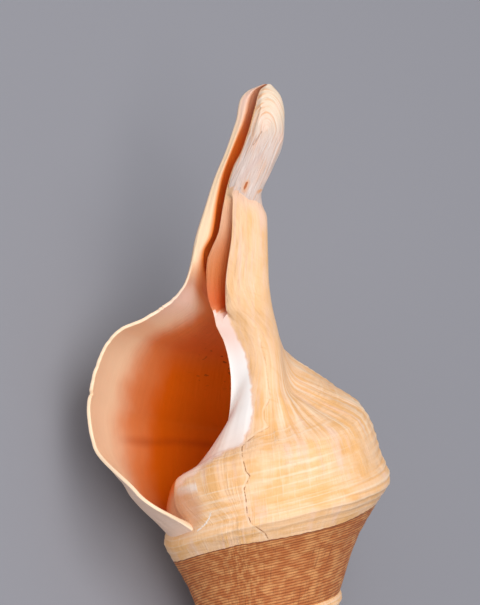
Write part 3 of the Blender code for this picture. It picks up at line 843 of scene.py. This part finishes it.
def linear(colour):
    """Scene-linear colour of 8-bit screen values."""
    shares = [c / 255.0 for c in colour]
    return [c / 12.92 if c <= 0.04045 else ((c + 0.055) / 1.055) ** 2.4 for c in shares] + [1.0]


class Finish:
    """One material's node tree, built by short calls; base is its colour so far."""

    def __init__(self, name):
        self.material = bpy.data.materials.new(name)
        self.material.use_nodes = True
        self.tree = self.material.node_tree
        self.shader = self.tree.nodes["Principled BSDF"]

    def put(self, socket, value):
        if isinstance(value, bpy.types.NodeSocket):
            self.tree.links.new(value, socket)
        else:
            socket.default_value = value

    def mask(self, name):
        node = self.tree.nodes.new("ShaderNodeAttribute")
        node.attribute_name = name
        return node.outputs["Fac"]

    def calc(self, operation, first, second=0.0):
        node = self.tree.nodes.new("ShaderNodeMath")
        node.operation = operation
        self.put(node.inputs[0], first)
        self.put(node.inputs[1], second)
        return node.outputs[0]

    def times(self, first, *others):
        for other in others:
            first = self.calc("MULTIPLY", first, other)
        return first

    def plus(self, first, *others):
        for other in others:
            first = self.calc("ADD", first, other)
        return first

    def absolute(self, value):
        return self.calc("ABSOLUTE", value)

    def between(self, value, low, high):
        """0 below low and 1 above high, smooth between; low may be the larger."""
        node = self.tree.nodes.new("ShaderNodeMapRange")
        node.interpolation_type = "SMOOTHSTEP"
        self.put(node.inputs["Value"], value)
        if low < high:
            self.put(node.inputs["From Min"], low)
            self.put(node.inputs["From Max"], high)
            return node.outputs["Result"]
        self.put(node.inputs["From Min"], high)
        self.put(node.inputs["From Max"], low)
        self.put(node.inputs["To Min"], 1.0)
        self.put(node.inputs["To Max"], 0.0)
        return node.outputs["Result"]

    def place(self, x, y):
        node = self.tree.nodes.new("ShaderNodeCombineXYZ")
        self.put(node.inputs[0], x)
        self.put(node.inputs[1], y)
        return node.outputs[0]

    def grain(self, place, detail=2.0):
        """Noise from 0 to 1 at a place whose units are the noise's cells."""
        node = self.tree.nodes.new("ShaderNodeTexNoise")
        self.put(node.inputs["Vector"], place)
        self.put(node.inputs["Scale"], 1.0)
        self.put(node.inputs["Detail"], detail)
        return node.outputs["Fac"]

    def stretched(self, x, x_scale, y, y_scale, detail=2.0):
        """Noise stretched along one of two masks."""
        return self.grain(self.place(self.times(x, x_scale), self.times(y, y_scale)), detail)

    def mix(self, share, first, second):
        node = self.tree.nodes.new("ShaderNodeMix")
        node.data_type = "RGBA"
        self.put(node.inputs["Factor"], share)
        self.put(node.inputs["A"], linear(first) if isinstance(first, tuple) else first)
        self.put(node.inputs["B"], linear(second) if isinstance(second, tuple) else second)
        return node.outputs["Result"]

    def tint(self, colour, other, share, strength):
        """A colour taken towards another by a share times a strength."""
        return self.mix(self.times(share, strength), colour, other)

    def lay(self, colour, share, *strengths):
        """Lay a colour over the finish's own by a share, times any strengths."""
        self.base = self.mix(self.times(share, *strengths), self.base, colour)

    def blend(self, share, first, second):
        """A number that goes from first to second."""
        node = self.tree.nodes.new("ShaderNodeMix")
        self.put(node.inputs["Factor"], share)
        self.put(node.inputs["A"], first)
        self.put(node.inputs["B"], second)
        return node.outputs["Result"]

    def join(self, roughness, height, distance):
        """Give the shader its colour, a roughness and a bump; returns the material."""
        node = self.tree.nodes.new("ShaderNodeBump")
        self.put(node.inputs["Strength"], 1.0)
        self.put(node.inputs["Distance"], distance)
        self.put(node.inputs["Height"], height)
        self.put(self.shader.inputs["Base Color"], self.base)
        self.put(self.shader.inputs["Roughness"], roughness)
        self.put(self.shader.inputs["Normal"], node.outputs[0])
        return self.material


def outside_finish():
    """Apricot outside with growth lines, brown ramps, cream fasciole and pale callus."""
    f = Finish("shell_outside")
    along = f.mask("along")
    level = f.mask("across")
    x = f.mask("front_x")
    height = f.mask("height")
    raised = f.mask("raised")
    patches = f.stretched(along, 0.025, level, 0.05, 3.0)
    growth_lines = f.stretched(along, 0.3, level, 0.03, 3.0)
    fine_lines = f.stretched(along, 0.8, level, 0.06)
    folds = f.stretched(along, 0.1, level, 0.012)
    threads = f.stretched(along, 0.012, level, 0.32, 3.0)
    f.base = f.mix(f.between(patches, 0.42, 0.66), APRICOT, OCHRE)
    f.lay(OCHRE, f.between(threads, 0.48, 0.72), 0.55)
    f.lay(PINK, f.between(f.stretched(along, 0.06, level, 0.02, 3.0), 0.5, 0.72), 0.6)
    f.lay(CREAM, f.between(raised, 0.1, 0.8), 0.75)
    f.lay(OCHRE, f.between(raised, -0.1, -0.8), 0.8)
    f.lay(CREAM, f.between(growth_lines, 0.54, 0.74), 0.45)
    f.lay(OCHRE, f.between(fine_lines, 0.42, 0.24), 0.5)

    on_slope = f.times(f.between(height, 345.0, 372.0), f.between(height, 455.0, 430.0),
                       f.between(along, -650.0, -570.0))
    f.lay(OCHRE, f.between(folds, 0.5, 0.34), on_slope, 0.85)
    f.lay(CREAM, f.between(folds, 0.5, 0.64), on_slope, 0.75)

    streaks = f.stretched(x, 0.22, height, 0.012, 3.0)
    neck = f.mix(f.between(streaks, 0.45, 0.75), APRICOT, PINK)
    tawny = f.between(f.stretched(x, 0.1, height, 0.014, 3.0), 0.46, 0.62)
    neck = f.tint(neck, OCHRE, tawny, 0.6)
    f.lay(neck, f.between(height, 400.0, 470.0), 0.6)

    f.lay(PINK, f.between(f.mask("fasciole"), -16.0, -1.0), 0.6)
    fasciole = f.between(f.mask("fasciole"), -0.6, 0.8)
    slanted = f.plus(x, f.times(height, -0.49))
    drift = f.plus(f.times(x, 0.05), f.times(height, 0.02))
    fan = f.grain(f.place(f.times(f.mask("arch"), 0.6), drift), 3.0)
    broad = f.stretched(slanted, 0.09, height, 0.03)
    upper = f.between(height, 650.0, 690.0)
    cream = f.mix(upper, LINEN, FAN_CREAM)
    cream = f.tint(cream, PINK, f.between(broad, 0.5, 0.7), 0.5)
    cream = f.tint(cream, PALE, f.between(fan, 0.42, 0.3), 0.3)
    cream = f.tint(cream, TAN, f.between(fan, 0.5, 0.66), f.blend(upper, 0.3, 0.62))
    groove = f.between(f.mask("groove"), 1.8, 0.4)
    cream = f.tint(cream, TAN, groove, 0.3)
    cream = f.tint(cream, GREY_PINK, f.between(f.mask("smudge"), 5.0, 0.5), 0.5)
    f.lay(cream, fasciole)
    crack = f.between(f.mask("crack"), 1.0, 0.3)
    f.lay(SCAR_COLOUR, crack, 0.45)
    f.lay(TAN, f.between(f.mask("hole"), 5.0, 1.4), 0.5)
    f.lay(HOLE_ORANGE, f.between(f.mask("hole"), 1.7, 0.8))
    f.lay(TAN, f.between(f.mask("flake"), 2.2, 0.8), 0.7)

    inside_slot = f.mix(f.between(height, 492.0, 528.0), SLOT_ORANGE, SLOT_BROWN)
    inside_slot = f.mix(f.between(height, 545.0, 588.0), inside_slot, SLOT_TAN)
    f.lay(inside_slot, f.mask("slot"))
    flap_share = f.blend(f.between(height, 520.0, 580.0), 0.15, 0.8)
    f.lay(FLAP_EDGE_TAN, f.mask("flap"), flap_share)

    scar = f.mask("scar")
    broken = f.between(f.grain(f.place(f.times(height, 0.2), 0.0)), 0.4, 0.58)
    lower = f.blend(f.between(height, 350.0, 366.0), 0.8, 0.25)
    scar_line = f.times(f.between(f.absolute(scar), 0.7, 0.2), broken, lower,
                        f.between(height, 458.0, 450.0))
    f.lay(SCAR_COLOUR, scar_line)
    f.lay(CREAM, f.between(f.absolute(f.plus(scar, -1.6)), 1.4, 0.4), 0.4)
    # Painted highlight: a pale patch beside the aperture, along the glaze line
    glaze_highlight = f.between(f.plus(f.mask("glaze"), f.times(patches, 5.0)), 9.0, 4.0)
    f.lay(PALE, glaze_highlight, 0.6)
    ragged = f.times(f.plus(f.stretched(x, 0.5, height, 0.5), -0.5), 3.0)
    f.lay(PALE, f.between(f.plus(f.mask("chip"), ragged), 1.1, 0.3), 0.7)

    wobble = f.times(f.stretched(x, 0.15, height, 0.15), 5.0)
    white = f.plus(f.mask("white"), f.plus(wobble, -2.5))
    callus = f.between(white, -0.8, 1.6)
    glaze = f.mix(f.between(height, 312.0, 392.0), BLUSH, PALE)
    glaze = f.mix(f.between(height, 425.0, 466.0), glaze, GLAZE_TOP)
    f.lay(glaze, callus)
    f.lay(PINK, f.between(f.absolute(white), 2.0, 0.4), 0.5)

    wavy = f.times(f.plus(f.stretched(along, 0.1, level, 0.1), -0.5), 2.4)
    ramp = f.plus(f.mask("brown"), wavy)
    brown = f.between(ramp, 0.0, 0.9)
    thread = f.calc("SINE", f.times(f.mask("turn_level"), 2.0 * math.pi / THREAD_PITCH))
    worn = f.stretched(along, 0.05, level, 0.12, 3.0)
    bark = f.mix(f.between(worn, 0.4, 0.66), BROWN, TAN)
    bark = f.tint(bark, DARK_BROWN, f.between(thread, 0.0, -0.9), 0.7)
    bark = f.tint(bark, TAN, f.between(thread, 0.5, 1.0), 0.35)
    bark = f.tint(bark, DARK_BROWN, f.between(growth_lines, 0.42, 0.26), 0.5)
    # Darker brown along the ramp's edge next to the keel: painted shadow of the keel on the ramp
    bark = f.mix(f.between(ramp, 2.6, 0.9), bark, DARK_BROWN)
    f.lay(bark, brown)
    f.lay(LIP_FACE, f.mask("lip_face"), 0.8)
    f.lay(RECESS, f.mask("recess"), 0.7)

    rough = f.blend(brown, f.blend(growth_lines, 0.44, 0.56), 0.58)
    rough = f.blend(callus, rough, 0.24)
    relief = f.plus(f.times(growth_lines, 0.7), f.times(fine_lines, 0.45),
                    f.times(threads, 0.6))
    relief = f.blend(callus, relief, 0.8)
    relief = f.blend(fasciole, relief, f.times(fan, 1.8))
    relief = f.plus(relief, f.times(groove, fasciole, -0.5), f.times(scar_line, -0.8),
                    f.times(crack, -0.4))
    return f.join(rough, relief, OUTSIDE_BUMP)


def inside_finish():
    """Glossy inside, from a cream lip over apricot to deep orange."""
    f = Finish("shell_inside")
    depth = f.mask("depth")
    height = f.mask("height")
    x = f.mask("front_x")
    cloud = f.stretched(x, 0.03, height, 0.016, 3.0)
    shifted = f.plus(depth, f.times(f.plus(cloud, -0.5), 16.0))
    deep = f.mix(f.between(height, 415.0, 470.0), DEEP_ORANGE, TOP_ORANGE)
    f.base = f.mix(f.between(shifted, 16.0, 36.0), PEACH, ORANGE)
    f.lay(deep, f.between(shifted, 34.0, 48.0))
    pinkish = f.times(f.between(height, 466.0, 500.0), f.between(height, 545.0, 510.0))
    near = f.times(f.between(depth, 70.0, 30.0), f.between(x, -64.0, -77.0))
    f.lay(BLUSH, pinkish, near, 0.85)
    # Painted shade along the crease on the inner wall
    fold = f.between(f.plus(f.mask("fold"), f.times(cloud, 9.0)), 12.0, 2.5)
    f.lay(CREASE_SHADE_RED, fold, f.between(depth, 20.0, 40.0), 0.42)
    canal = f.between(height, 500.0, 545.0)
    tip = f.between(height, 650.0, 700.0)
    f.lay(f.mix(tip, CANAL_ORANGE, CANAL_TAN), canal)
    f.lay(f.mix(tip, PEACH, PINK), canal, f.between(depth, 58.0, 16.0))
    specks = f.between(f.stretched(x, 0.16, height, 0.3, 0.0), 0.7, 0.75)
    speck_zone = f.times(f.between(depth, 50.0, 70.0), f.between(height, 400.0, 420.0),
                         f.between(height, 480.0, 460.0))
    f.lay(DARK_BROWN, specks, speck_zone, 0.7)
    f.lay(RECESS, f.mask("recess"))
    f.lay(LIP_CREAM, f.mask("edge"))
    growth_lines = f.stretched(depth, 0.5, height, 0.02)
    relief = f.plus(f.times(cloud, 0.6), f.times(growth_lines, 0.25))
    return f.join(f.blend(cloud, 0.26, 0.38), relief, INSIDE_BUMP)


def add_object(name, data):
    """A new object in the scene."""
    item = bpy.data.objects.new(name, data)
    bpy.context.scene.collection.objects.link(item)
    return item


def make_floor():
    """Plain grey floor just under the shell."""
    bpy.ops.mesh.primitive_circle_add(vertices=96, radius=FLOOR_RADIUS, fill_type="NGON",
                                      location=(0.0, 0.0, -FLOOR_DROP))
    floor = bpy.context.object
    floor.name = "floor"
    material = bpy.data.materials.new("floor_paper")
    material.use_nodes = True
    shader = material.node_tree.nodes["Principled BSDF"]
    shader.inputs["Base Color"].default_value = FLOOR_COLOUR
    shader.inputs["Roughness"].default_value = FLOOR_ROUGHNESS
    floor.data.materials.append(material)


def area_light(name, spot, aim, size, power, colour):
    """A soft square lamp at a spot, turned to an aim point."""
    data = bpy.data.lights.new(name, "AREA")
    data.shape = "SQUARE"
    data.size = size
    data.energy = power
    data.color = colour
    lamp = add_object(name, data)
    lamp.location = spot
    lamp.rotation_mode = "QUATERNION"
    lamp.rotation_quaternion = (aim - spot).to_track_quat("-Z", "Y")


def make_studio(placed):
    """Camera on the photograph's line of sight, soft lamps and a pale surround."""
    centre = placed @ (Vector(FRAME_CENTRE) * UNIT)
    right, away, top = [column.normalized() for column in placed.to_3x3().col]
    data = bpy.data.cameras.new("camera")
    data.sensor_width = SENSOR
    data.lens = SENSOR * CAMERA_DISTANCE / (FRAME_HEIGHT_UNITS * UNIT)
    data.clip_end = VIEW_END
    camera = add_object("camera", data)
    camera.rotation_mode = "QUATERNION"
    camera.location = centre - away * CAMERA_DISTANCE
    camera.rotation_quaternion = Matrix((right, top, -away)).transposed().to_quaternion()
    bpy.context.scene.camera = camera
    for name, ((to_right, up, nearer), size, power, colour) in LAMPS.items():
        spot = centre + right * to_right + top * up - away * nearer
        area_light(name, spot, centre, size, power, colour)
    world = bpy.data.worlds.new("surround")
    world.use_nodes = True
    background = world.node_tree.nodes["Background"]
    background.inputs["Color"].default_value = WORLD_COLOUR
    background.inputs["Strength"].default_value = WORLD_STRENGTH
    bpy.context.scene.world = world


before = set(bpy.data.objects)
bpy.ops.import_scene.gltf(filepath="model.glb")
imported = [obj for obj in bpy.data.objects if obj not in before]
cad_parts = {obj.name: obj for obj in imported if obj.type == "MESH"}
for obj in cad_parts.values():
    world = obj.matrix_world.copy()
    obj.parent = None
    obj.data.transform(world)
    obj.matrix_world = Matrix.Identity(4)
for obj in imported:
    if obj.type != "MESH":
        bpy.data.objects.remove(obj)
cad_low, cad_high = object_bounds()
surface = make_mesh()
placed = lay_down(surface, cad_low, cad_high)
surface.materials.append(outside_finish())
surface.materials.append(inside_finish())
surface.shade_smooth()
surface.set_sharp_from_angle(angle=math.radians(SHARP_ANGLE))
shell = add_object("trumpet_shell", surface)
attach(shell, "root")
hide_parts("shell")
make_floor()
make_studio(placed)
bpy.context.scene.view_settings.view_transform = "Standard"
